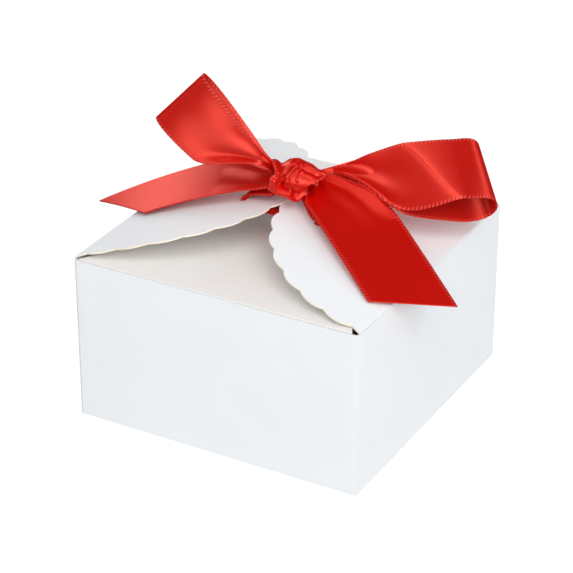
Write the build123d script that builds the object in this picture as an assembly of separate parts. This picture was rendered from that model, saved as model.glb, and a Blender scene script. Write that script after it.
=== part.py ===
"""Square favor box folded from one card blank, its lid tied shut with a satin ribbon bow.

Millimetres, +Z up. The origin is the centre of the base, on the surface that the box stands on.
The front wall faces -Y. Two scalloped flaps close the lid from the left and the right, over two
plain flaps from the front and the back. The ribbon runs through a slot in each scalloped flap.
"""
import os
from math import atan, cos, degrees, radians, sin, sqrt, tan

from build123d import *

# Carton
side = 80.0
wall_height = 45.0
card = 0.4
fold_radius = 1.1
crease_gap = 0.05

# Scalloped outer flaps
corner_setback = 0.8
rim_inset = 2.3
rim_straight = 2.9
scallop_count = 14
scallop_rise = 1.3
slot_distance = 30.0
slot_width = 2.0
left_root_angle = 22.1
left_tip_angle = 5.7
right_rest_angle = 13.0

# Plain inner flaps
inner_setback = 1.8
inner_taper = 0.49
inner_overlap = 1.2
inner_corner = 5.0
front_inner_dip_angle = 3.2
back_inner_dip_angle = 4.6

# Locked bottom
panel_setback = 1.0
lock_reach = 46.0
lock_taper = 0.1
side_panel_reach = 25.0
side_panel_taper = 0.35
tongue_panel_reach = 46.0
tongue_width = 24.0
tongue_length = 16.0
tongue_ramp = 7.0
lock_gap = 0.3

# Glued seam
tab_width = 12.0
tab_setback = 4.0
tab_taper = 0.5

# Satin ribbon
ribbon_width = 20.0
ribbon = 0.3
ribbon_gap = 0.3
band_width = 12.6
slot_play = 0.4
band_rise = 1.0
band_bend = 0.8

# Knot
knot_offset = (3.0, -4.0)
knot_lift = 6.7
knot_length = 14.0
knot_radius = 5.2
knot_end_radius = 3.6
knot_ribs = 5
knot_rib_rise = 0.7
knot_heading_angle = 23.5
knot_pitch_angle = -10.5

# Loops of the bow
loop_gather = 4.0
loop_bulge = (0.4, 0.5)
left_loop_exit = (-5.6, -2.4, -0.6)
left_loop_length = 31.0
left_loop_flare = 28.0
left_loop_end = 1.3
left_loop_shift = 1.5
left_loop_heading_angle = 197.0
left_loop_pitch_angle = 42.5
left_loop_roll_angle = 101.0
left_loop_shoulder_angles = (14.0, -2.0)
right_loop_exit = (6.4, 1.2, -2.7)
right_loop_length = 43.2
right_loop_flare = 25.0
right_loop_end = 2.6
right_loop_shift = -2.5
right_loop_heading_angle = 40.0
right_loop_pitch_angle = 0.5
right_loop_roll_angle = -22.7
right_loop_shoulder_angles = (10.6, -3.0)

# Tails of the bow
tail_gather = 7.0
tail_root = 4.0
tail_flare = 10.0
tail_bulge = (0.4, 0.64)
left_tail_exit = (-8.4, 5.3, -2.5)
left_tail_heading_angle = 193.0
left_tail_rise_angle = 1.4
left_tail_droop = 7.7
left_tail_shift = -5.0
left_tail_lengths = (33.0, 54.0)
right_tail_exit = (10.2, 5.9, -4.7)
right_tail_heading_angle = -36.2
right_tail_rise_angle = -4.5
right_tail_droop = 0.5
right_tail_shift = 5.0
right_tail_lengths = (44.7, 36.7)

# Derived places
inside = side / 2 - card
crease_offset = side / 2 - card / 2
crease_height = wall_height - card / 2
wall_top = crease_height - card / 2 - crease_gap
flap_root = side / 2 - corner_setback
rim_radius = side / 2 - rim_inset
flap_reach = rim_straight + rim_radius * cos(radians(90 / scallop_count)) + scallop_rise
slot_length = band_width + 2 * slot_play
inner_reach = crease_offset + inner_overlap
arch_radius = flap_reach / radians(left_root_angle - left_tip_angle)
arch_x = -crease_offset + arch_radius * sin(radians(left_root_angle))
arch_z = crease_height - arch_radius * cos(radians(left_root_angle))
lid_peak = arch_z + arch_radius * cos(radians(left_tip_angle))
knot_centre = Vector(knot_offset[0], knot_offset[1], lid_peak + knot_lift)


def save(name, shape):
    """Write one node's solid and report its volume."""
    solid = shape.solid()
    print(f"{name}: {solid.volume:.1f} mm3")
    export_step(solid, f"parts/{name}.step")


def largest(shape):
    """The biggest solid of a cut shape."""
    return shape.solids().sort_by(SortBy.VOLUME)[-1]


# Walls

def wall(turn):
    """One wall of the tube, mitred at its two rounded vertical folds."""
    outline = RectangleRounded(side, side, fold_radius)
    hollow = RectangleRounded(side - 2 * card, side - 2 * card, fold_radius - card)
    tube = extrude(outline - hollow, wall_top)
    wedge = extrude(make_face(Polyline((0, 0), (-side, -side), (side, -side), close=True)), wall_top)
    return tube & (Rot(0, 0, turn) * wedge)


def glue_tab():
    """Seam tab that carries on from the left wall and is glued inside the back wall."""
    low = tab_setback
    high = wall_top - tab_setback
    slope = tab_width * tab_taper
    face = make_face(Polyline(
        (-inside, low), (-inside + tab_width, low + slope),
        (-inside + tab_width, high - slope), (-inside, high), close=True))
    plate = extrude(Plane((0, inside, 0), x_dir=(1, 0, 0), z_dir=(0, -1, 0)) * face, card)
    cavity = extrude(RectangleRounded(2 * inside, 2 * inside, fold_radius - card), wall_height)
    return plate & cavity


# Bottom

def panel_outline(reach, taper):
    """Bottom panel seen from above, rooted on the front wall."""
    root = inside - panel_setback
    tip = root - taper * reach
    return make_face(Polyline(
        (-root, -inside), (root, -inside), (tip, reach - inside), (-tip, reach - inside), close=True))


def tongue_start():
    """Distance from the centre, towards the front, at which the tongue leaves its panel."""
    return tongue_panel_reach - inside


def lock_panel():
    """Innermost bottom panel, from the front wall, with the slot that takes the tongue."""
    climb = 3 * card / tongue_ramp
    slot_back = -tongue_start() - card / climb + lock_gap
    slot_front = -tongue_start() - tongue_ramp - lock_gap
    opening = Rectangle(tongue_width + 2 * lock_gap, slot_back - slot_front)
    slot = Pos(0, (slot_back + slot_front) / 2) * opening
    return Pos(0, 0, 2 * card) * extrude(panel_outline(lock_reach, lock_taper) - slot, card)


def side_panel(turn):
    """Bottom panel from a side wall, laid between the lock panel and the tongue panel."""
    panel = extrude(panel_outline(side_panel_reach, side_panel_taper), card)
    return Rot(0, 0, turn) * Pos(0, 0, card) * panel


def tongue_panel():
    """Outermost bottom panel, from the back wall, whose tongue climbs through the slot."""
    plate = Rot(0, 0, 180) * extrude(panel_outline(tongue_panel_reach, lock_taper), card)
    start = -tongue_start()
    bend = start - tongue_ramp
    tip = start - tongue_length
    profile = make_face(Polyline(
        (start + card, 0), (start, 0), (bend, 3 * card), (tip, 3 * card),
        (tip, 4 * card), (bend, 4 * card), (start, card), (start + card, card), close=True))
    tongue = extrude(Plane.YZ * profile, tongue_width / 2, both=True)
    return plate + tongue


# Lid flaps

def arched(distance, offset=0.0):
    """Point of the bent left flap seen from the front, so far from its crease and so far above its middle."""
    lean = radians(left_root_angle) - distance / arch_radius
    return arch_x - (arch_radius + offset) * sin(lean), arch_z + (arch_radius + offset) * cos(lean)


def scalloped_face(place):
    """Outer flap and its slot seen from above, where place gives the X of a distance from the crease."""
    step = 180 / scallop_count
    peak = rim_radius * cos(radians(step / 2)) + scallop_rise
    cusps = []
    crowns = []
    for i in range(scallop_count + 1):
        cusp = radians(i * step)
        crown = radians((i + 0.5) * step)
        cusps.append((place(rim_straight + rim_radius * sin(cusp)), -rim_radius * cos(cusp)))
        crowns.append((place(rim_straight + peak * sin(crown)), -peak * cos(crown)))
    rim = [ThreePointArc(cusps[i], crowns[i], cusps[i + 1]) for i in range(scallop_count)]
    base = Polyline(cusps[-1], (place(0), flap_root), (place(0), -flap_root), cusps[0])
    slot = Pos(place(slot_distance), 0) * Rot(0, 0, 90) * SlotOverall(slot_length, slot_width)
    return make_face([*rim, *base.edges()]) - slot


def flat_flap():
    """Outer flap lying flat: its crease is on Y and it reaches along +X."""
    plate = extrude(scalloped_face(lambda distance: distance), card / 2, both=True)
    return plate + crease_bead(flap_root)


def arched_flap():
    """Outer flap in its place on the left, bent by the ribbon: steep at its crease and flatter at its tip."""
    ends = (0, flap_reach / 2, flap_reach + card)
    outer = ThreePointArc(*(arched(distance, card / 2) for distance in ends))
    inner = ThreePointArc(*(arched(distance, -card / 2) for distance in ends))
    close = [Line(outer @ 0, inner @ 0), Line(outer @ 1, inner @ 1)]
    sheet = extrude(Plane.XZ * make_face([outer, inner, *close]), side / 2, both=True)
    prism = extrude(scalloped_face(lambda distance: arched(distance)[0]), 2 * wall_height)
    return (sheet & prism) + Pos(-crease_offset, 0, crease_height) * crease_bead(flap_root)


def plain_flap():
    """Inner flap lying flat: its crease is on Y and it reaches along +X."""
    root = side / 2 - inner_setback
    tip = root - inner_taper * inner_reach
    face = make_face(Polyline((0, -root), (inner_reach, -tip), (inner_reach, tip), (0, root), close=True))
    face = fillet(face.vertices().sort_by(Axis.X)[-2:], inner_corner)
    return extrude(face, card / 2, both=True) + crease_bead(root)


def crease_bead(half_length):
    """Rounded root of a flap, on the line that it folds about."""
    return Rot(90, 0, 0) * Cylinder(card / 2, 2 * half_length)


def placed_flap(flap, turn, rest):
    """A flat flap raised to its rest angle and carried to its wall."""
    return Rot(0, 0, turn) * Pos(-crease_offset, 0, crease_height) * Rot(0, -rest, 0) * flap


# Ribbon

def ribbon_frame(origin, heading, pitch, roll):
    """Plane whose x runs along the ribbon, y stands off its face and z crosses its width."""
    turn = radians(heading)
    climb = radians(pitch)
    lean = radians(roll)
    along = Vector(cos(climb) * cos(turn), cos(climb) * sin(turn), sin(climb))
    level = Vector(sin(turn), -cos(turn), 0)
    across = level * cos(lean) + level.cross(along) * sin(lean)
    return Plane(origin=origin, x_dir=along, z_dir=across)


def trimmed(frame, profile, outline):
    """Ribbon with the given side profile, cut to the outline seen square to its face."""
    sheet = extrude(frame * profile, ribbon_width, both=True)
    facing = Plane(origin=frame.origin, x_dir=frame.x_dir, z_dir=-frame.y_dir)
    return sheet & extrude(facing * outline, 2 * ribbon_width, both=True)


def lid_height(x):
    """Height of the middle of the card of the scalloped flaps, from the left or from the right."""
    if x <= arched(flap_reach)[0]:
        return arch_z + sqrt(arch_radius ** 2 - (x - arch_x) ** 2)
    return crease_height + (crease_offset - x) * tan(radians(right_rest_angle))


def lid_roof():
    """Space that the scalloped flaps fill, with the ribbon's clearance above them."""
    stand_off = card / 2 + ribbon_gap
    root, middle, end = (arched(share * flap_reach, stand_off) for share in (0, 0.5, 1))
    tip = arched(flap_reach)[0] + ribbon_gap
    right_rise = stand_off / cos(radians(right_rest_angle))
    ridge = Polyline(
        end, (tip, end[1]), (tip, lid_height(tip) + right_rise), (crease_offset, crease_height + right_rise),
        (crease_offset, 0), (root[0], 0), root)
    face = make_face([ThreePointArc(root, middle, end), *ridge.edges()])
    return extrude(Plane.XZ * face, side, both=True)


def knot():
    """Tight wrap at the middle of the bow, a ribbed barrel that sits on the lid's ridge."""
    half = knot_length / 2
    shrink = knot_radius - knot_end_radius
    edge = [-half + knot_length * i / knot_ribs for i in range(knot_ribs + 1)]
    valley = [(x, knot_radius - shrink * (x / half) ** 2) for x in edge]
    ribs = []
    for start, end in zip(valley, valley[1:]):
        crown = ((start[0] + end[0]) / 2, (start[1] + end[1]) / 2 + knot_rib_rise)
        ribs.append(ThreePointArc(start, crown, end))
    ends = Polyline(valley[-1], (half, 0), (-half, 0), valley[0])
    frame = ribbon_frame(knot_centre, knot_heading_angle, knot_pitch_angle, 0)
    barrel = revolve(frame * make_face([*ribs, *ends.edges()]), Axis(frame.origin, frame.x_dir))
    return barrel - lid_roof()


def strand_arc(length, end, shoulder):
    """Radius and end point of the arc from the knot that runs into a loop's round end."""
    lean = sin(radians(shoulder))
    run = length - end
    radius = (run ** 2 + end ** 2 + 2 * run * end * lean) / (2 * end + 2 * run * lean)
    return radius, (run + end * lean, end * cos(radians(shoulder)))


def loop_profile(length, end, shoulders):
    """Side view of a loop: two bowed strands that leave the knot and join in a round end."""
    upper_radius, upper = strand_arc(length, end, shoulders[0])
    lower_radius, lower = strand_arc(length, end, shoulders[1])
    lower = (lower[0], -lower[1])
    strands = [
        RadiusArc((0, 0), upper, upper_radius),
        ThreePointArc(upper, (length, 0), lower),
        RadiusArc(lower, (0, 0), lower_radius),
    ]
    middle = make_face(strands)
    return offset(middle, ribbon / 2) - offset(middle, -ribbon / 2)


def gathered(pinch, pinch_width, shift, flare, bulge, ends):
    """Outline of a ribbon gathered beside its middle line, of full width past the flare, with a cut end."""
    half = ribbon_width / 2
    span = flare - pinch
    low = shift - pinch_width / 2
    high = shift + pinch_width / 2

    def spread(start, edge):
        middle = (pinch + bulge[0] * span, start + bulge[1] * (edge - start))
        return ThreePointArc((pinch, start), middle, (flare, edge))

    gather = Line((pinch, low), (pinch, high))
    full = Polyline((flare, -half), (ends[0], -half), (ends[1], half), (flare, half))
    return make_face([gather, spread(low, -half), spread(high, half), *full.edges()])


def loop(exit_point, length, flare, end, shift, heading, pitch, roll, shoulders):
    """One loop of the bow, gathered where it enters the knot."""
    frame = ribbon_frame(knot_centre + Vector(*exit_point), heading, pitch, roll)
    clear = length + end
    outline = gathered(-end, loop_gather, shift, flare, loop_bulge, (clear, clear))
    return trimmed(frame, loop_profile(length, end, shoulders), outline)


def tail(exit_point, heading, rest, rise, droop, shift, lengths):
    """One tail, which follows the slope of the flap under it and droops to its slanted end."""
    pitch = rise - degrees(atan(tan(radians(rest)) * abs(cos(radians(heading)))))
    frame = ribbon_frame(knot_centre + Vector(*exit_point), heading, pitch, 0)
    reach = max(lengths)
    run = reach + tail_root
    path = RadiusArc((-tail_root, 0), (reach, -droop), (run ** 2 + droop ** 2) / (2 * droop))
    outline = gathered(-tail_root, tail_gather, shift, tail_flare, tail_bulge, lengths)
    return trimmed(frame, trace(path, ribbon), outline)


def band():
    """Ribbon from the knot down through both slots and across under the lid."""
    left_x = arched(slot_distance)[0]
    right_x = crease_offset - slot_distance * cos(radians(right_rest_angle))
    apart = 2 * ribbon
    top = knot_centre.Z - knot_end_radius
    path = FilletPolyline(
        (-apart, top), (left_x, lid_height(left_x) + band_rise),
        (left_x, lid_height(left_x) - 2 * band_rise), (right_x, lid_height(right_x) - 2 * band_rise),
        (right_x, lid_height(right_x) + band_rise), (apart, top), radius=band_bend)
    profile = trace(path, ribbon)
    return extrude(Plane.XZ * profile, band_width / 2, both=True)


def build():
    """Make every node and write it to the parts folder."""
    os.makedirs("parts", exist_ok=True)
    for name, turn in (("front", 0), ("right", 90), ("back", 180), ("left", 270)):
        save(f"{name}_wall", wall(turn))
    save("glue_tab", glue_tab())
    save("bottom_lock_panel", lock_panel())
    save("bottom_left_panel", side_panel(270))
    save("bottom_right_panel", side_panel(90))
    save("bottom_tongue_panel", tongue_panel())
    save("left_scalloped_flap", arched_flap())
    save("right_scalloped_flap", placed_flap(flat_flap(), 180, right_rest_angle))
    save("front_inner_flap", placed_flap(plain_flap(), 90, -front_inner_dip_angle))
    save("back_inner_flap", placed_flap(plain_flap(), 270, -back_inner_dip_angle))
    left_slope_angle = (left_root_angle + left_tip_angle) / 2
    bow_knot = knot()
    save("ribbon_knot", bow_knot)
    strands = {
        "ribbon_left_loop": loop(
            left_loop_exit, left_loop_length, left_loop_flare, left_loop_end, left_loop_shift,
            left_loop_heading_angle, left_loop_pitch_angle, left_loop_roll_angle,
            left_loop_shoulder_angles),
        "ribbon_right_loop": loop(
            right_loop_exit, right_loop_length, right_loop_flare, right_loop_end, right_loop_shift,
            right_loop_heading_angle, right_loop_pitch_angle, right_loop_roll_angle,
            right_loop_shoulder_angles),
        "ribbon_left_tail": tail(
            left_tail_exit, left_tail_heading_angle, left_slope_angle, left_tail_rise_angle,
            left_tail_droop, left_tail_shift, left_tail_lengths),
        "ribbon_right_tail": tail(
            right_tail_exit, right_tail_heading_angle, right_rest_angle, right_tail_rise_angle,
            right_tail_droop, right_tail_shift, right_tail_lengths),
        "ribbon_band": band(),
    }
    for name, strand in strands.items():
        save(name, largest(strand - bow_knot))


build()
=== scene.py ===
# %% [markdown]
# # A favor box tied with a satin ribbon
# The box is one blank of thin white card, folded to a square tray with four lid flaps. A red satin
# ribbon runs through a slot in each scalloped flap and is tied over them in a bow. The card's
# solids come ready made in the frame. The ribbon is modelled here, because cloth is all folds.

# %% Load the box
import bpy
import numpy as np
from mathutils import Matrix, Vector


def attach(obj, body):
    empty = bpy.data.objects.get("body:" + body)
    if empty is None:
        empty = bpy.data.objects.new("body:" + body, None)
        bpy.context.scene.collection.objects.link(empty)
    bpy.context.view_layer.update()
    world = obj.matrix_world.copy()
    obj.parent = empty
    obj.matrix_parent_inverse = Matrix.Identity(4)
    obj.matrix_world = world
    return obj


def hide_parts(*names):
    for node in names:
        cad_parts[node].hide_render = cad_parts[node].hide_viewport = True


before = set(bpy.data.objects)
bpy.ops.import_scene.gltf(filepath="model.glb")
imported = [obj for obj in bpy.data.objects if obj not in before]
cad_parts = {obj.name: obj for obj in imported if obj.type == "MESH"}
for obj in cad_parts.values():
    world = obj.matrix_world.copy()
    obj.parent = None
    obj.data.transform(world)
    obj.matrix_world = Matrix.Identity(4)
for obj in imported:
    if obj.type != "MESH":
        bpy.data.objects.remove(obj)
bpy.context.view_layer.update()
MM = 0.001

# %% [markdown]
# ## Camera
# A camera is a place, a point that it looks at and a lens. A long lens from half a metre away keeps
# the box's upright edges nearly parallel, as in a product picture.

# %% Set the camera
camera_place = Vector((255.36, -459.90, 312.30)) * MM
camera_aim = Vector((-1.22, -0.68, 28.54)) * MM
picture_px = 573
focal_px = 2321.4

camera_data = bpy.data.cameras.new("camera")
camera_data.lens = camera_data.sensor_width * focal_px / picture_px
camera_data.clip_start = 0.01
camera = bpy.data.objects.new("camera", camera_data)
turn = (camera_place - camera_aim).to_track_quat("Z", "Y")
camera.matrix_world = Matrix.Translation(camera_place) @ turn.to_matrix().to_4x4()
bpy.context.scene.collection.objects.link(camera)
bpy.context.scene.camera = camera
bpy.context.scene.view_settings.view_transform = "Standard"
print("lens in mm:", round(camera_data.lens, 1))

# %% [markdown]
# ## Node helpers
# A material is a small graph of nodes. A few helpers keep the graphs readable. One adds a node and
# sets its inputs, each with a value or with a link from another node. The others do one step of
# arithmetic, a soft step between two values, a mix of two colours, and the start of a material.


# %% Node helpers
def add(tree, kind, inputs=None, **settings):
    """A shader node with settings and inputs given by name. An input is a value or a socket."""
    node = tree.nodes.new("ShaderNode" + kind)
    for name, value in settings.items():
        setattr(node, name, value)
    for name, value in (inputs or {}).items():
        if isinstance(value, bpy.types.NodeSocket):
            tree.links.new(value, node.inputs[name])
        else:
            node.inputs[name].default_value = value
    return node


def math(tree, operation, *values):
    """One arithmetic step, as a socket."""
    return add(tree, "Math", dict(enumerate(values)), operation=operation).outputs[0]


def ramp(tree, value, low, high):
    """0 below low, 1 above high and a soft step between them, as a socket."""
    inputs = {"Value": value, "From Min": low, "From Max": high}
    return add(tree, "MapRange", inputs, interpolation_type="SMOOTHSTEP").outputs["Result"]


def blend(tree, share, first, second):
    """A colour between two, by a share from 0 to 1, as a socket. Inputs 6 and 7 are colours."""
    return add(tree, "Mix", {0: share, 6: first, 7: second}, data_type="RGBA").outputs[2]


def new_material(name):
    """An empty material, its tree and its output node."""
    material = bpy.data.materials.new(name)
    material.use_nodes = True
    tree = material.node_tree
    tree.nodes.clear()
    return material, tree, add(tree, "OutputMaterial")


# %% [markdown]
# ## Studio
# The real box stood in a white light tent. The floor and the world are plain white to the camera,
# but they light the box at an ordinary level, so that the white card still shows its faces. In
# reflections the tent is nearly dark, because only the lamps should draw bright bars on the satin.

# %% White surroundings
white = (1, 1, 1, 1)
sky_light = 0.46
tent_glow = 0.03

world = bpy.data.worlds.new("light_tent")
world.use_nodes = True
sky = world.node_tree
sky.nodes.clear()
rays = add(sky, "LightPath").outputs
seen = math(sky, "MAXIMUM", rays["Is Camera Ray"], rays["Is Transmission Ray"])
mirrored = math(sky, "MULTIPLY", rays["Is Glossy Ray"], tent_glow)
lights = math(sky, "MULTIPLY", rays["Is Diffuse Ray"], sky_light)
strength = math(sky, "MAXIMUM", math(sky, "MAXIMUM", seen, mirrored), lights)
glow = add(sky, "Background", {"Color": white, "Strength": strength})
sky.links.new(glow.outputs[0], add(sky, "OutputWorld").inputs["Surface"])
bpy.context.scene.world = world
print("light tent: sky light", sky_light, "and glow in reflections", tent_glow)

# %% White floor
floor_half = 3.0
floor_paper = (0.70, 0.70, 0.70, 1)
floor_mirrored = (0.06, 0.06, 0.06, 1)
floor_shadow = (0.25, 0.25, 0.25, 1)
floor_glow = 0.86

corners = [(-floor_half, -floor_half, 0), (floor_half, -floor_half, 0),
           (floor_half, floor_half, 0), (-floor_half, floor_half, 0)]
floor_mesh = bpy.data.meshes.new("floor")
floor_mesh.from_pydata(corners, [], [(0, 1, 2, 3)])
floor = bpy.data.objects.new("floor", floor_mesh)
bpy.context.scene.collection.objects.link(floor)

floor_white, tree, output = new_material("floor_white")
rays = add(tree, "LightPath").outputs
tone = blend(tree, rays["Is Glossy Ray"], floor_paper, floor_mirrored)
paper = add(tree, "BsdfDiffuse", {"Color": tone})
shadow = add(tree, "BsdfDiffuse", {"Color": floor_shadow})
lit = add(tree, "Emission", {"Color": white, "Strength": floor_glow})
seen = add(tree, "AddShader", {0: shadow.outputs[0], 1: lit.outputs[0]})
choice = {0: rays["Is Camera Ray"], 1: paper.outputs[0], 2: seen.outputs[0]}
tree.links.new(add(tree, "MixShader", choice).outputs[0], output.inputs["Surface"])
floor_mesh.materials.append(floor_white)
print("floor of", 2 * floor_half, "m")

# %% [markdown]
# A lamp can be hidden from one kind of ray. Three softboxes light the card: a large key at the
# front right, a low one at the right and a low one behind. Four small ones are seen by glossy rays
# alone, so that each can lay a bar of sheen on the satin without lighting the card.

# %% Softboxes
lamp_aim = Vector((0, 0, 0.05))
softboxes = {  # direction from the aim, distance, width, height, power in watts, for sheen only
    "key_softbox": ((0.46, -0.62, 0.64), 0.90, 0.80, 0.80, 6.5, False),
    "right_softbox": ((0.95, 0.05, 0.30), 0.90, 0.90, 0.50, 1.2, False),
    "back_softbox": ((-0.60, 0.78, 0.15), 0.90, 0.90, 0.30, 3.2, False),
    "side_sheen_softbox": ((0.66, -0.70, 0.34), 0.75, 0.25, 0.25, 3.9, True),
    "top_sheen_softbox": ((0.20, -0.25, 0.95), 0.75, 0.25, 0.25, 1.1, True),
    "fold_sheen_softbox": ((0.90, 0.30, 0.30), 0.75, 0.18, 0.18, 1.6, True),
    "back_sheen_softbox": ((-0.81, 0.49, 0.32), 0.75, 0.18, 0.18, 1.75, True),
}


def add_softbox(name, direction, distance, width, height, power, sheen_only):
    """A rectangular lamp in a direction from the aim, turned to face it."""
    lamp = bpy.data.lights.new(name, "AREA")
    lamp.shape = "RECTANGLE"
    lamp.size = width
    lamp.size_y = height
    lamp.energy = power
    toward = Vector(direction).normalized()
    turned = toward.to_track_quat("Z", "Y").to_matrix().to_4x4()
    box = bpy.data.objects.new(name, lamp)
    box.matrix_world = Matrix.Translation(lamp_aim + toward * distance) @ turned
    box.visible_glossy = sheen_only
    box.visible_diffuse = not sheen_only
    bpy.context.scene.collection.objects.link(box)


for name, setting in softboxes.items():
    add_softbox(name, *setting)

# %% [markdown]
# ## Card
# Favor boxes are cut from coated board: a smooth, slightly bluish white outside, a plainer, warmer
# reverse, and a cream core that shows wherever the knife went through. The inner flaps are painted
# warmer and lighter, as the light that the lid's reverse throws back on them, and the creases are
# painted greyer, as the shade that falls in the fold. One solid can carry all of these: each face
# may have its own material.

# %% Card finishes
mottle_mm = 20
speckle = 0.12
board_specular = 0.06


def card_finish(name, light, dark, roughness, grain_mm, grain_depth):
    """Board: two near tones mottled at 20 mm, and a fine tooth in the bump and the roughness."""
    material, tree, output = new_material(name)
    place = add(tree, "TexCoord").outputs["Object"]
    mottle = {"Vector": place, "Scale": 1 / (mottle_mm * MM), "Detail": 3.0}
    grain = {"Vector": place, "Scale": 1 / (grain_mm * MM), "Detail": 4.0}
    cloud = add(tree, "TexNoise", mottle).outputs["Fac"]
    tooth = add(tree, "TexNoise", grain).outputs["Fac"]
    colour = blend(tree, ramp(tree, cloud, 0.35, 0.65), light, dark)
    rough = math(tree, "MULTIPLY_ADD", tooth, speckle, roughness - speckle / 2)
    bump = add(tree, "Bump", {"Strength": 0.25, "Distance": grain_depth * MM, "Height": tooth})
    board = add(tree, "BsdfPrincipled", {
        "Base Color": colour, "Roughness": rough, "Specular IOR Level": board_specular,
        "Normal": bump.outputs[0]})
    tree.links.new(board.outputs[0], output.inputs["Surface"])
    return material


coated_face = card_finish(
    "coated_face", (0.872, 0.900, 0.920, 1), (0.860, 0.890, 0.912, 1), 0.68, 0.35, 0.010)
# a warmer, lighter colour painted in as the bounced light that falls on the inner flaps
inner_flap_painted_bounce = card_finish(
    "inner_flap_painted_bounce", (0.925, 0.905, 0.885, 1), (0.910, 0.888, 0.864, 1), 0.68, 0.35, 0.010)
# a greyer colour painted in as the shade that falls in the folds
crease_painted_shade = card_finish(
    "crease_painted_shade", (0.790, 0.810, 0.826, 1), (0.765, 0.786, 0.804, 1), 0.80, 0.25, 0.020)
plain_reverse = card_finish(
    "plain_reverse", (0.890, 0.870, 0.845, 1), (0.870, 0.845, 0.815, 1), 0.75, 0.25, 0.030)
cut_edge = card_finish(
    "cream_cut_edge", (0.930, 0.880, 0.720, 1), (0.880, 0.800, 0.610, 1), 0.85, 0.12, 0.040)
print("card finishes:", [m.name for m in (
    coated_face, inner_flap_painted_bounce, crease_painted_shade, plain_reverse, cut_edge)])

# %% [markdown]
# The coated side of a wall faces out, that of a bottom panel down, and that of a lid flap up. A
# face whose normal leans that way is coated, one that leans the other way is the reverse, and what
# is left is a cut. The rounds of the walls' upright folds and of the lid's creases are bends, and
# they get a greyer colour that is painted shade of the fold.

# %% Sides of the card
crease_offset = 39.8 * MM
crease_height = 44.8 * MM
crease_reach = 0.9 * MM
face_lean = 0.3
flat_lean = 0.97
coated_side = {
    "front_wall": (0, -1, 0), "right_wall": (1, 0, 0),
    "back_wall": (0, 1, 0), "left_wall": (-1, 0, 0),
    "glue_tab": (0, 1, 0),
    "bottom_lock_panel": (0, 0, -1), "bottom_left_panel": (0, 0, -1),
    "bottom_right_panel": (0, 0, -1), "bottom_tongue_panel": (0, 0, -1),
    "left_scalloped_flap": (0, 0, 1), "right_scalloped_flap": (0, 0, 1),
    "front_inner_flap": (0, 0, 1), "back_inner_flap": (0, 0, 1),
}
print("card pieces:", len(coated_side))


# %% Dress the card
def dress_card(name, side):
    """Give each face of a card piece its finish by the lean of its normal to the coated side."""
    piece = bpy.data.objects[name]
    faces = piece.data.polygons
    normal = np.empty(3 * len(faces))
    centre = np.empty(3 * len(faces))
    faces.foreach_get("normal", normal)
    faces.foreach_get("center", centre)
    lean = normal.reshape(-1, 3) @ np.array(side)
    x, y, z = np.abs(centre.reshape(-1, 3)).T
    at_edge = np.maximum(x, y) > crease_offset - crease_reach
    lid_bend = at_edge & (np.abs(z - crease_height) < crease_reach)
    finish = np.where(lean > face_lean, 0, np.where(lean < -face_lean, 1, 2))
    upright_bend = name.endswith("wall") & (lean > -face_lean) & (lean < flat_lean)
    # bends get the greyer colour, painted shade of the fold
    finish = np.where((lid_bend & (finish == 2)) | upright_bend, 3, finish)
    # the inner flaps get the colour with painted bounce light
    outer_face = inner_flap_painted_bounce if "inner" in name else coated_face
    piece.data.materials.clear()
    for material in (outer_face, plain_reverse, cut_edge, crease_painted_shade):
        piece.data.materials.append(material)
    faces.foreach_set("material_index", finish.astype(np.int32))
    return np.bincount(finish, minlength=4)


for name, side in coated_side.items():
    coated, reverse, cut, bent = dress_card(name, side)
    print(f"{name}: {coated} coated, {reverse} reverse, {cut} cut and {bent} bent faces")

# %% [markdown]
# ## Satin
# Satin's long floats lie along the ribbon, so light spreads across them and runs in bright bars
# where the ribbon bends. One principled shader does that, with a tinted, stretched highlight. Each
# piece of ribbon carries its own measure, in millimetres along and across, and the weave reads that
# measure, so that threads and edge stitches follow every fold.

# %% Threads and stitches of the satin
ribbon_width = 20.0
selvedge = 0.95
selvedge_blur = 0.25
stitch_pitch = 1.0
stitch_slant = 0.5
threads_per_mm = (0.35, 7.0, 1.0)
clouds_per_mm = (0.08, 0.12, 1.0)

red_satin, tree, output = new_material("red_satin")
measure = add(tree, "Attribute", attribute_name="ribbon_mm").outputs["Vector"]
along, across, _ = add(tree, "SeparateXYZ", {0: measure}).outputs


def ribbon_noise(per_mm):
    """Noise on the ribbon's measure, stretched by its rate along and across."""
    grid = add(tree, "VectorMath", {0: measure, 1: per_mm}, operation="MULTIPLY").outputs[0]
    return add(tree, "TexNoise", {"Vector": grid, "Scale": 1.0, "Detail": 2.0}).outputs["Fac"]


thread = ribbon_noise(threads_per_mm)
cloud = ribbon_noise(clouds_per_mm)
selvedge_start = ribbon_width / 2 - selvedge
edge = ramp(tree, math(tree, "ABSOLUTE", across), selvedge_start, selvedge_start + selvedge_blur)
slanted = math(tree, "ADD", along, math(tree, "MULTIPLY", across, stitch_slant))
wave = math(tree, "SINE", math(tree, "MULTIPLY", slanted, 2 * np.pi / stitch_pitch))
stitch = ramp(tree, wave, -0.4, 0.6)
print("selvedge of", selvedge, "mm with a stitch every", stitch_pitch, "mm")

# %% Satin finish
deep_red = (0.585, 0.0020, 0.0006, 1)
bright_red = (0.665, 0.0030, 0.0009, 1)
cloud_red = (0.635, 0.0025, 0.0008, 1)
# edge stitches: a painted pink glint on each stitch and painted shade in the gaps between them
stitch_gap_painted_shade_red = (0.470, 0.0020, 0.0008, 1)
stitch_painted_glint_red = (0.880, 0.0550, 0.0400, 1)
sheen_tint = (1.0, 0.155, 0.110, 1)
thread_share = 0.25

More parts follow.
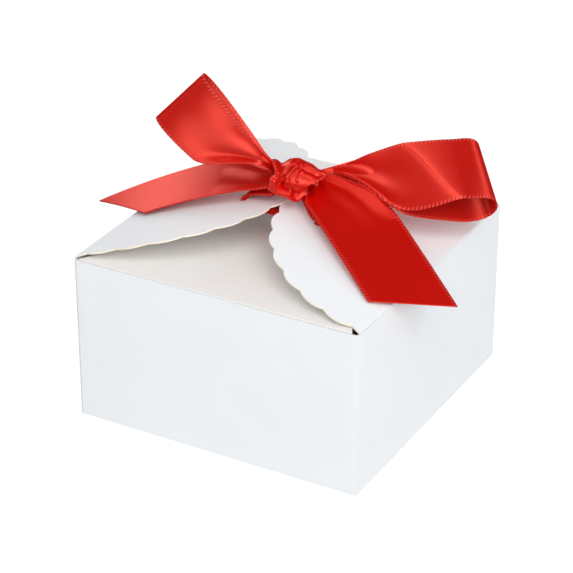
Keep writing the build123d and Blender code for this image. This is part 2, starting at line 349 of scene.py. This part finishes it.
thread_red = blend(tree, ramp(tree, thread, 0.3, 0.7), deep_red, bright_red)
body_red = blend(tree, ramp(tree, cloud, 0.3, 0.7), thread_red, cloud_red)
# the selvedge carries the stitches' painted glints and painted shade; their bump below is real
colour = blend(tree, edge, body_red, blend(tree, stitch, stitch_gap_painted_shade_red, stitch_painted_glint_red))
stitch_height = math(tree, "MULTIPLY", stitch, edge)
height = math(tree, "ADD", math(tree, "MULTIPLY", thread, thread_share), stitch_height)
bump = add(tree, "Bump", {"Strength": 0.35, "Distance": 0.06 * MM, "Height": height})
tangent = add(tree, "Tangent", direction_type="UV_MAP", uv_map="weave")
satin = add(tree, "BsdfPrincipled", {
    "Base Color": colour, "Roughness": 0.46, "IOR": 2.2, "Specular IOR Level": 1.0,
    "Specular Tint": sheen_tint, "Anisotropic": 0.97,
    "Normal": bump.outputs[0], "Tangent": tangent.outputs[0]})
tree.links.new(satin.outputs[0], output.inputs["Surface"])
print("satin with", len(tree.nodes), "nodes")

# %% [markdown]
# ## Ribbon helpers
# Each stretch of ribbon is a profile carried across its width: a line drawn in the plane of along
# and off, spread between two edges that narrow where the ribbon is drawn into the knot. Cloth can't
# shrink, so what the edges lose in width goes into pleats. Solidify gives the sheet its thickness.

# %% Axes of a strand
knot_centre = np.array((3.0, -4.0, 61.46))


def soft_step(x, start, end):
    """0 before start, 1 past end, 3t^2 - 2t^3 between. An end below start turns it round."""
    t = np.clip((x - start) / (end - start), 0, 1)
    return t * t * (3 - 2 * t)


def strand_axes(exit_point, heading, pitch, roll):
    """Axes of a strand that leaves the knot: its origin, then along it, off its face and across it.

    Along points to the heading and the pitch, and across is level before it turns by the roll."""
    h, p, r = np.radians((heading, pitch, roll))
    along = np.array((np.cos(p) * np.cos(h), np.cos(p) * np.sin(h), np.sin(p)))
    level = np.array((np.sin(h), -np.cos(h), 0))
    across = level * np.cos(r) + np.cross(level, along) * np.sin(r)
    return knot_centre + np.array(exit_point), along, np.cross(across, along), across


# %% Line of a strand
grid_step = 0.25


def even_steps(x, y):
    """A plane curve at equal steps: its length is summed up and read back at every grid step."""
    run = np.concatenate(([0], np.cumsum(np.hypot(np.diff(x), np.diff(y)))))
    u = np.linspace(0, run[-1], int(run[-1] / grid_step) + 1)
    return u, np.interp(u, run, x), np.interp(u, run, y)


def loop_line(length, front, back, narrow, arch):
    """The side view of a loop: x = L (1 - cos p) / 2, y = a sin p sin^m(p / 2), p from 0 to 2 pi.

    The bulge a differs between the front and the back strand, m draws both together near the knot,
    and an arch lifts the middle of the loop."""
    p = np.linspace(0, 2 * np.pi, 1600)
    x = length * (1 - np.cos(p)) / 2
    bulge = np.where(p < np.pi, front, back) * np.abs(np.sin(p / 2)) ** narrow
    return even_steps(x, bulge * np.sin(p) + arch * np.sin(np.pi * x / length))


# %% Pleats and edges
columns = 57
column_crowding = 1.35
picot = 0.09
pleat_onset = 0.03


def pleats(low, high, count, share):
    """Waves across the ribbon, high enough to take up a share of the width that its edges lost.

    A sine of n waves in a width w with amplitude a is about w (1 + (pi n a / w)^2) long, which is
    solved for a. The first hundredths of lost width count for less, so the waves set in softly."""
    width = high - low
    spare = np.maximum(ribbon_width / width - 1, 0)
    depth = width * spare ** 1.5 / (spare + pleat_onset) / (np.pi * count)
    q = np.linspace(0, 1, columns)
    return share * depth[:, None] * np.sin(2 * np.pi * count * q)[None, :]


def stitch_swing(along_mm):
    """How far an edge swings out at a place along it: p (1 + sin) / 2, one wave per stitch."""
    return picot * (0.5 + 0.5 * np.sin(2 * np.pi * along_mm / stitch_pitch))


def spread(axes, u, x, y, low, high, lift):
    """A profile (x along, y off) spread from the low edge to the high one and lifted off its face.

    A point is origin + along (x - lift y') + off (y + lift x') + across z, where z runs from the
    low edge to the high one, in columns that crowd towards both, and the outermost swing out."""
    v = np.linspace(-1, 1, columns)
    v = np.sign(v) * (1 - (1 - np.abs(v)) ** column_crowding)
    z = low[:, None] + (high - low)[:, None] * (v + 1)[None, :] / 2
    z[:, 0] -= stitch_swing(u)
    z[:, -1] += stitch_swing(u)
    slope_x = np.gradient(x, u)[:, None]
    slope_y = np.gradient(y, u)[:, None]
    local = np.stack((x[:, None] - lift * slope_y, y[:, None] + lift * slope_x, z), -1)
    places = axes[0] + local @ np.stack(axes[1:])
    along_mm = np.repeat(u[:, None], columns, 1)
    across_mm = np.repeat((v * ribbon_width / 2)[None, :], len(u), 0)
    return places, along_mm, across_mm


# %% [markdown]
# A sheet of satin is a grid of places joined by quads. Two more things are stored with it: the
# ribbon's measure, which the weave reads, and a map whose first axis runs across the ribbon, which
# turns the stretched highlight the right way.

# %% Sheet of satin
ribbon_thickness = 0.24
weave_tile = 100


def satin_sheet(name, places, along_mm, across_mm):
    """A mesh on a grid of places in mm, with its measure in mm and a map that runs across first."""
    rows, cols = places.shape[:2]
    index = np.arange(rows * cols).reshape(rows, cols)
    quads = (index[:-1, :-1], index[1:, :-1], index[1:, 1:], index[:-1, 1:])
    quads = np.stack(quads, -1).reshape(-1, 4)
    mesh = bpy.data.meshes.new(name)
    mesh.from_pydata((places.reshape(-1, 3) * MM).tolist(), [], quads.tolist())
    mesh.polygons.foreach_set("use_smooth", np.ones(len(quads), bool))
    measure = np.stack((along_mm, across_mm, np.zeros_like(along_mm)), -1).reshape(-1, 3)
    ribbon_mm = mesh.attributes.new("ribbon_mm", "FLOAT_VECTOR", "POINT")
    ribbon_mm.data.foreach_set("vector", measure.ravel())
    corner = np.empty(len(mesh.loops), np.int32)
    mesh.loops.foreach_get("vertex_index", corner)
    weave = measure[corner][:, (1, 0)] / weave_tile + 0.5
    mesh.uv_layers.new(name="weave").data.foreach_set("uv", weave.ravel())
    mesh.materials.append(red_satin)
    piece = bpy.data.objects.new(name, mesh)
    bpy.context.scene.collection.objects.link(piece)
    wall = piece.modifiers.new("thickness", "SOLIDIFY")
    wall.thickness = ribbon_thickness * MM
    wall.offset = 0
    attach(piece, "ribbon")
    return piece


# %% [markdown]
# ## Left loop
# The left loop stands up and shows its face. It is nearly flat, with a sharp fold at its end, and
# its lower edge is swept up into the knot in a soft roll, while the upper edge runs straight. A
# strip bent by a modifier could be folded too, but it would sweep both edges alike, and here they
# differ.

# %% Left loop
left_axes = strand_axes((-5.6, -2.4, -0.6), heading=197, pitch=42.5, roll=101)
left_length = 31.0
half_width = ribbon_width / 2
least_width = 2.2

u, x, y = loop_line(left_length, front=3.2, back=2.6, narrow=1.0, arch=0.0)
y = y - 1.5 * soft_step(x, 7, 0)  # both strands dip into the knot
front_strand = u < u[-1] / 2
away = np.clip(1 - x / left_length, 0, 1)
narrowing = np.where(front_strand, 6.5 * away ** 1.6, 6.6 * away ** 0.9)
high = half_width - narrowing
low = -half_width + 12.3 * (1 - soft_step(x, 4.0, 17.5))  # the lower edge, swept up
low = np.minimum(low, high - least_width)
lift = pleats(low, high, count=2, share=0.40)

left_loop = satin_sheet("satin_left_loop", *spread(left_axes, u, x, y, low, high, lift))
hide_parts("ribbon_left_loop")
print("left loop: ribbon length in mm", round(u[-1], 1))

# %% [markdown]
# ## Right loop
# The right loop lies over the lid and is rounder: its two strands part towards a full, drooping
# end. One edge is swept out of the knot, both edges sag in the middle, and one sharp crease crosses
# the front strand. The crease is a ridge with two straight flanks, added to the pleats, so that it
# bends the sheet itself and not only its shading.

# %% Right loop line and edges
right_axes = strand_axes((6.4, 1.2, -2.7), heading=40, pitch=0.5, roll=-22.7)
right_length = 43.2
sweep_start = 3.5
sweep_run = 14
sweep_sharpness = 8

u, x, y = loop_line(right_length, front=9.2, back=9.2, narrow=5.0, arch=1.6)
y = y - 2.0 * soft_step(x, 15, 0)  # both strands dip into the knot
front_strand = u < u[-1] / 2
low = -half_width + 1.0 * (1 - soft_step(x, 2, 24))
sweep = np.clip((x - sweep_start) / sweep_run, 0, None)
past_full = np.logaddexp(0, sweep_sharpness * (sweep - 1)) / sweep_sharpness
sweep = np.clip(sweep - past_full, 0, None) ** 1.55
high = np.where(front_strand, -6.0 + 16.0 * sweep, -7.5 + 17.5 * sweep)
high = np.maximum(high, low + least_width)
lift = pleats(low, high, count=2, share=0.30)
sag = (0.9 + 0.8 * front_strand) * soft_step(x, 12, 28) * soft_step(x, right_length, 34)
low = low + 0.4 * sag
high = high + sag
print("right loop: edges sag by", round(sag.max(), 1), "mm")

# %% Right loop
crease_rise = 1.9
crease_round = 2.2
flank_reach = 16.0

z = low[:, None] + (high - low)[:, None] * np.linspace(0, 1, columns)
past_crease = x[:, None] - 27.4 - 0.5 * z  # the crease slants over the strand
flank_slope = np.where(past_crease < 0, 0.22, 0.18)
flank_run = (np.sqrt(past_crease ** 2 + crease_round) ** -4 + flank_reach ** -4) ** -0.25
crease_window = soft_step(x, 42, 34) * soft_step(x, 0, 8) * front_strand
crease = (crease_rise - flank_slope * flank_run) * crease_window[:, None]

right_loop = satin_sheet("satin_right_loop", *spread(right_axes, u, x, y, low, high, lift + crease))
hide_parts("ribbon_right_loop")
print("right loop: ribbon length in mm", round(u[-1], 1))

# %% [markdown]
# ## Tails
# Each tail leaves the knot in a gather, spreads to its full width and droops. Its end is cut at a
# slant. A cut with a boolean would leave ragged faces, so the grid follows the slant instead: every
# thread along the tail has its own length.


# %% Tail helper
def tail(name, node, axes, start, ends, line, edges, count, share):
    """A strip of ribbon from a start to a slanted end, gathered into waves where it is narrow.

    At the share q of the width, stations run evenly from start to ends[0] + (ends[1] - ends[0]) q.
    line gives the height at a station and a share, and edges gives the two edges at a station."""
    q = np.linspace(0, 1, columns)
    rows = int((max(ends) - start) / grid_step) + 1
    end = ends[0] + (ends[1] - ends[0]) * q
    station = start + (end[None, :] - start) * np.linspace(0, 1, rows)[:, None]
    low, high = edges(station)
    z = low + (high - low) * q[None, :]
    z[:, 0] -= stitch_swing(station[:, 0])
    z[:, -1] += stitch_swing(station[:, -1])
    width = np.clip(high - low, 1.5, None)
    spare = np.sqrt(np.maximum(ribbon_width / width - 1, 0))
    wave = share * width * spare / (np.pi * count) * np.sin(2 * np.pi * count * q)[None, :]
    y = line(station, q[None, :]) + wave
    places = axes[0] + np.stack((station, y, z), -1) @ np.stack(axes[1:])
    across_mm = np.repeat(((2 * q - 1) * half_width)[None, :], rows, 0)
    piece = satin_sheet(name, places, station, across_mm)
    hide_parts(node)
    print(f"{name}: edges {ends[0] - start:.1f} and {ends[1] - start:.1f} mm long")


# %% Left tail
def left_tail_line(s, q):
    """A short rise out of the knot, 1 - e^(-(s + 4) / 6), then a droop that grows as s^1.7."""
    rise = 1.2 * (1 - np.exp(-np.maximum(s + 4, 0) / 6))
    return -0.45 + 1.5 * q + rise - 0.0115 * np.maximum(s, 0) ** 1.7


def left_tail_edges(s):
    """The near edge is full 4 mm out of the knot, the far edge only after 15 mm."""
    near = -half_width + 1.5 * (1 - soft_step(s, -4, 4))
    far = -1.5 + 11.5 * soft_step(s, -3, 15)
    return near, far


left_tail_axes = strand_axes((-8.4, 5.3, -2.5), heading=193, pitch=-12.2, roll=0)
tail("satin_left_tail", "ribbon_left_tail", left_tail_axes, start=-4.0, ends=(33.6, 55.0),
     line=left_tail_line, edges=left_tail_edges, count=2, share=0.25)


# %% Right tail
def right_tail_line(s, q):
    """A slight sag that grows as s^2. Near the knot the back edge rides over the loop."""
    over_loop = 3.4 * (1 - q) ** 1.2 * soft_step(s, 15, 1)
    return 0.3 - 0.0006 * np.maximum(s, 0) ** 2 + over_loop


def right_tail_edges(s):
    """The front edge leaves the knot nearly straight, the back edge is full after 15 mm."""
    back = -10.2 + 11.7 * (np.clip(15 - s, 0, None) / 19.5) ** 1.9
    front = 10.1 - 4.0 * (1 - soft_step(s, -9, 1))
    return back, front


right_tail_axes = strand_axes((10.2, 5.9, -4.7), heading=-36.2, pitch=-15.1, roll=0)
tail("satin_right_tail", "ribbon_right_tail", right_tail_axes, start=-9.0, ends=(44.6, 36.8),
     line=right_tail_line, edges=right_tail_edges, count=3, share=0.35)

# %% [markdown]
# ## Band
# The ribbon reaches the lid through the two slots. This stretch comes down from the knot, dives
# through the left slot, crosses under the lid and climbs out of the right slot. Its line is a cubic
# B-spline, which rounds every bend of a few corner points.


# %% Band line
def smooth_line(points, per_span=40):
    """A cubic B-spline through the ends of a list of plane points, by its four blending cubics."""
    points = np.array(points, float)
    before = 2 * points[:1] - points[1:2]
    after = 2 * points[-1:] - points[-2:-1]
    points = np.concatenate((before, points, after))
    t = np.linspace(0, 1, per_span, endpoint=False)[:, None]
    weights = ((1 - t) ** 3, 3 * t ** 3 - 6 * t ** 2 + 4,
               -3 * t ** 3 + 3 * t ** 2 + 3 * t + 1, t ** 3)
    spans = [sum(w * points[i + k] for k, w in enumerate(weights)) / 6
             for i in range(len(points) - 3)]
    return np.concatenate(spans)


left_x, left_z = -11.0, 53.15
right_x, right_z = 10.57, 51.55
band_line = smooth_line([
    (-1.5, 57.6), (-5.0, 56.6),
    (left_x + 2.2, left_z + 2.0), (left_x + 0.3, left_z + 1.0), (left_x, left_z),
    (left_x + 0.2, left_z - 1.2), (left_x + 1.8, left_z - 1.9),
    (-3.0, 51.9), (3.0, 51.6),
    (right_x - 1.8, right_z - 1.6), (right_x - 0.2, right_z - 1.1), (right_x, right_z),
    (right_x - 0.3, right_z + 1.0), (right_x - 2.2, right_z + 1.9),
    (5.0, 56.0), (2.0, 57.0)])
print("band: points on its line", len(band_line))

# %% Band
band_half = 6.4
gather_run = 9
gather_share = 0.45
band_axes = (np.zeros(3), np.array((1.0, 0, 0)), np.array((0, 0, 1.0)), np.array((0, -1.0, 0)))

u, x, z = even_steps(band_line[:, 0], band_line[:, 1])
at_start = soft_step(u, gather_run, 0)
at_end = soft_step(u, u[-1] - gather_run, u[-1])
half = band_half * (1 - gather_share * np.maximum(at_start, at_end))
lean = 4.2 * at_start - 1.0 * at_end
lift = pleats(-half, half, count=4, share=0.6)
band = satin_sheet("satin_band", *spread(band_axes, u, x, z, -half + lean, half + lean, lift))
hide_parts("ribbon_band")
print("band: ribbon length in mm", round(u[-1], 1))

# %% [markdown]
# ## Knot
# The knot is one tight turn of ribbon. Its creases fan out from a pit at the lower left, run up
# over the top and end at the turn's own stitched edge, which overlaps the right tail. A cloth
# simulation is slow to tie so tight a knot, so it is a ring surface with creases pressed into its
# radius: a sum of small reliefs over the station along the bow, in mm, and the angle round it, in
# degrees from the front upwards.

# %% Barrel and folds of the knot
knot_along = np.array((0.902, 0.392, -0.182))
knot_front = np.array((0.399, -0.917, 0.0))
knot_up = np.cross(knot_front, knot_along)
knot_radius = 5.0
mm_per_degree = 0.087


def ridge(distance, width):
    """A rounded crest, exp(-(d / w)^2)."""
    return np.exp(-(distance / width) ** 2)


def barrel_radius(station, angle):
    """The turn without its folds: r (1 - (s / 13)^2), drawn in at two places over the top."""
    over_top = soft_step(angle, 20, 60)
    drawn_in = 1.25 * ridge(station + 3.9, 1.2) + 0.5 * ridge(station - 5.2, 1.2)
    crown = 0.35 * ridge(station, 1.3) * soft_step(angle, 70, 100)
    return knot_radius * (1 - (station / 13) ** 2) - drawn_in * over_top + crown


def fold_relief(station, angle):
    """Five crests that climb from the pit, each a line in station and angle, and four valleys."""
    first = -1.1 - 2.9 * (np.clip(115 - angle, 0, None) / 94) ** 1.8
    second = -2.04 + 1.71 * (np.clip(angle - 29.6, 0, None) / 34) ** 1.3
    third = -1.09 + 1.74 * np.clip(angle - 33.6, 0, None) / 33
    fourth = -0.75 + 0.5 * soft_step(angle, 25, 55)
    fifth = 0.75 + 0.7 * soft_step(angle, 30, 60)
    crests = 0.40 * ridge(station - second, 0.22) + 0.40 * ridge(station - third, 0.22)
    crests = crests + 0.25 * ridge(station - fourth, 0.28) + 0.22 * ridge(station - fifth, 0.33)
    valleys = 1.00 * ridge(station - (first + second) / 2, 0.36)
    valleys = valleys + 0.55 * ridge(station - (second + third) / 2, 0.20)
    valleys = valleys + 0.50 * ridge(station - (third + fourth) / 2 - 0.15, 0.22)
    valleys = valleys + 0.30 * ridge(station - (fourth + fifth) / 2, 0.30)
    in_front = soft_step(angle, 16, 28) * soft_step(angle, 80, 68)
    longest = soft_step(angle, 8, 24) * soft_step(angle, 112, 86)
    return in_front * (crests - valleys) + 0.55 * ridge(station - first, 0.36) * longest


# %% [markdown]
# Below its folds the turn's edge opens like a fan, with fine gathered threads, and under the fan
# lies a roll with a groove in it. The right edge of the turn follows the fan, so its line is solved
# from the same parabola.

# %% Top and fan of the knot
fan_low = 3
fan_opening = 1.15
fan_middle = 0.2
fan_thread = 0.45


def fan_edge_at(station):
    """The angle of the fan's lower edge, a parabola in the station."""
    return fan_low + fan_opening * (station - fan_middle) ** 2


def top_relief(station, angle):
    """A dimple in the top, a lip at the right with a hollow under it, and a curl at the left."""
    dimple = 0.9 * ridge(np.hypot(station - 1.0, (angle - 64) * mm_per_degree), 0.55)
    lip = 0.35 * ridge(angle - 79, 7) * soft_step(station, 1.5, 2.5)
    hollow = soft_step(station, 1.2, 2.4) * soft_step(station, 6.5, 5.0)
    hollow = 0.50 * ridge(angle - 61, 8) * hollow
    curl_line = -4.5 - 1.4 * soft_step(angle, 30, 84)
    curl = soft_step(angle, 22, 34) * soft_step(angle, 96, 70)
    curl = 0.55 * ridge(station - curl_line, 0.38) * curl
    return lip + curl - dimple - hollow


def fan_relief(station, angle):
    """Fine threads above the fan's lower edge, a slit under it and a drop at its right."""
    above = angle - fan_edge_at(station)
    threads = np.sin(2 * np.pi * station / fan_thread) * ridge(above - 9, 7)
    threads = 0.07 * threads * soft_step(station, -1.0, 0.0)
    slit = soft_step(station, -3.0, -2.2) * soft_step(station, 1.8, 0.8)
    slit = 1.5 * slit * ridge(above + 8, 4.5)
    drop = 1.8 * soft_step(station, 1.5, 3.6) * soft_step(above, -4, -16)
    return threads - slit - drop


# %% Roll and ends of the knot
def roll_relief(station, angle):
    """A roll at the bottom with a groove in it, the hollow between it and the fan, and the pit."""
    inside_fan = soft_step(angle - fan_edge_at(station), -2.0, 2.0) * soft_step(station, -3.0, -1.8)
    roll_edge = -22 + 38 * soft_step(station, -3.6, -5.2) - 24 * soft_step(station, -0.9, 1.0)
    on_roll = soft_step(angle - roll_edge, 3, -3)
    roll = 0.45 * on_roll * ridge(angle - roll_edge + 9, 8)
    between = soft_step(angle, 40, 15) * soft_step(station, -5.2, -3.8)
    between = 1.6 * (1 - inside_fan) * (1 - on_roll) * between
    groove = soft_step(angle, -10, -20) * soft_step(angle, -55, -44)
    groove = 0.8 * ridge(station + 0.5 + 1.1 * (angle + 15) / 25, 0.28) * groove
    pit = 2.2 * ridge(np.hypot(station + 2.75, (angle + 10) * mm_per_degree), 0.85)
    return roll - between - groove - pit


def knot_ends_at(angle):
    """Stations of the turn's two edges: the left one by the curl, the right one along the fan."""
    left = -5.1 - 1.4 * soft_step(angle, 30, 84) - 0.9 * soft_step(angle, 30, 14)
    fan = fan_middle + np.sqrt(np.clip(angle - fan_low, 0, None) / fan_opening)
    below = 3.1 + 0.8 * soft_step(angle, -25, -60) + 2.0 * soft_step(angle, -70, -150)
    return left, np.clip(np.maximum(fan, below), None, 7.2)


# %% Knot
angle_steps = 301
share_steps = 149

angle, share = np.meshgrid(np.linspace(180, -180, angle_steps), np.linspace(0, 1, share_steps),
                           indexing="ij")
left_end, right_end = knot_ends_at(angle)
station = left_end + (right_end - left_end) * share
radius = barrel_radius(station, angle) + sum(
    relief(station, angle) for relief in (fold_relief, top_relief, fan_relief, roll_relief))
girth = np.radians(angle)
outward = np.cos(girth)[..., None] * knot_front + np.sin(girth)[..., None] * knot_up
places = knot_centre + station[..., None] * knot_along + radius[..., None] * outward
knot = satin_sheet("satin_knot", places, girth * knot_radius, (2 * share - 1) * half_width)
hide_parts("ribbon_knot")
print("knot: mean girth in mm", round(2 * np.pi * radius.mean(), 1))
